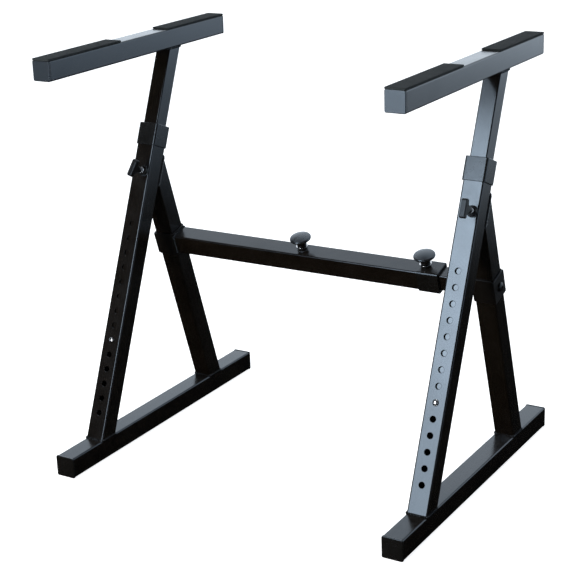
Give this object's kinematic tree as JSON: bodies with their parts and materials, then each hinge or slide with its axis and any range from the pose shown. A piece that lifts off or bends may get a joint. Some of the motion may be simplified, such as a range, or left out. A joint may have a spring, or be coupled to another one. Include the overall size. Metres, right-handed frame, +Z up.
{
  "type": "z keyboard stand",
  "caption": "Z-shaped keyboard stand: side frames of square tube with padded arms on sliding masts, joined by a telescoping crossbar that locks with knobs.",
  "frame": {"origin": "on the floor, midway between the two side frames and midway along the feet", "axes": "+Z up, +X to the right seen from the side with the clamp grips, +Y to the back, which the uprights lean to"},
  "size_m": [0.6554, 0.546, 0.6928],
  "materials": {
    "coat": "semi-gloss",
    "bracket": "matte",
    "plastic": "satin",
    "knob": "satin",
    "chrome": "polished",
    "steel": "plain",
    "pad": "matte"
  },
  "bodies": {
    "left_frame": {"left_foot_tube": "coat", "left_foot_cap_front": "plastic", "left_foot_cap_rear": "plastic", "left_upright_tube": "coat", "left_upright_collar": "plastic", "left_clamp_boss": "coat", "left_brace_tube": "coat", "left_bracket_cradle": "bracket", "left_bracket_plate": "bracket", "left_bracket_bolt": "bracket", "left_bracket_plug": "steel", "crossbar_outer_tube": "coat", "crossbar_bushing": "plastic", "middle_lock_boss": "coat", "end_lock_boss": "coat"},
    "right_frame": {"right_foot_tube": "coat", "right_foot_cap_front": "plastic", "right_foot_cap_rear": "plastic", "right_upright_tube": "coat", "right_upright_collar": "plastic", "right_clamp_boss": "coat", "right_brace_tube": "coat", "right_bracket_cradle": "bracket", "right_bracket_plate": "bracket", "right_bracket_bolt": "bracket", "right_bracket_plug": "steel", "crossbar_inner_tube": "coat", "crossbar_glide": "plastic"},
    "left_mast": {"left_post_tube": "coat", "left_post_glide": "plastic", "left_arm_tube": "coat", "left_arm_cap_front": "plastic", "left_arm_cap_rear": "plastic", "left_arm_pad_front": "pad", "left_arm_pad_rear": "pad", "left_snap_spring": "steel"},
    "left_button": {"left_snap_button": "chrome"},
    "left_clamp": {"left_clamp_screw": "chrome", "left_clamp_grip": "knob"},
    "right_mast": {"right_post_tube": "coat", "right_post_glide": "plastic", "right_arm_tube": "coat", "right_arm_cap_front": "plastic", "right_arm_cap_rear": "plastic", "right_arm_pad_front": "pad", "right_arm_pad_rear": "pad", "right_snap_spring": "steel"},
    "right_button": {"right_snap_button": "chrome"},
    "right_clamp": {"right_clamp_screw": "chrome", "right_clamp_grip": "knob"},
    "middle_lock": {"middle_lock_screw": "chrome", "middle_lock_washer": "chrome", "middle_lock_knob": "knob"},
    "end_lock": {"end_lock_screw": "chrome", "end_lock_washer": "chrome", "end_lock_knob": "knob"}
  },
  "joints": [
    {"name": "width_slide", "type": "slide", "parent": "left_frame", "child": "right_frame", "axis": [1, 0, 0], "range_m": [-0.056, 0.323]},
    {"name": "left_height_slide", "type": "slide", "parent": "left_frame", "child": "left_mast", "axis": [0, 0.3872, 0.922], "range_m": [-0.125, 0.2], "deforming": ["left_snap_button"]},
    {"name": "left_button_press", "type": "slide", "parent": "left_mast", "child": "left_button", "axis": [0, 0.922, -0.3872], "range_m": [0, 0.0055], "stiffness_N_per_m": 1500, "springref_m": -0.004, "deforming": ["left_snap_spring"]},
    {"name": "left_clamp_turn", "type": "hinge", "parent": "left_frame", "child": "left_clamp", "pos_m": [-0.29645, -0.01355, 0.46172], "axis": [0, -0.922, 0.3872], "continuous": true},
    {"name": "right_height_slide", "type": "slide", "parent": "right_frame", "child": "right_mast", "axis": [0, 0.3872, 0.922], "range_m": [-0.125, 0.2], "deforming": ["right_snap_button"]},
    {"name": "right_button_press", "type": "slide", "parent": "right_mast", "child": "right_button", "axis": [0, 0.922, -0.3872], "range_m": [0, 0.0055], "stiffness_N_per_m": 1500, "springref_m": -0.004, "deforming": ["right_snap_spring"]},
    {"name": "right_clamp_turn", "type": "hinge", "parent": "right_frame", "child": "right_clamp", "pos_m": [0.31045, -0.01355, 0.46172], "axis": [0, -0.922, 0.3872], "continuous": true},
    {"name": "middle_lock_turn", "type": "hinge", "parent": "left_frame", "child": "middle_lock", "pos_m": [-0.0305, 0.0631, 0.321], "axis": [0, -0.2999, 0.954], "continuous": true},
    {"name": "end_lock_turn", "type": "hinge", "parent": "left_frame", "child": "end_lock", "pos_m": [0.1985, 0.0631, 0.321], "axis": [0, -0.2999, 0.954], "continuous": true}
  ]
}
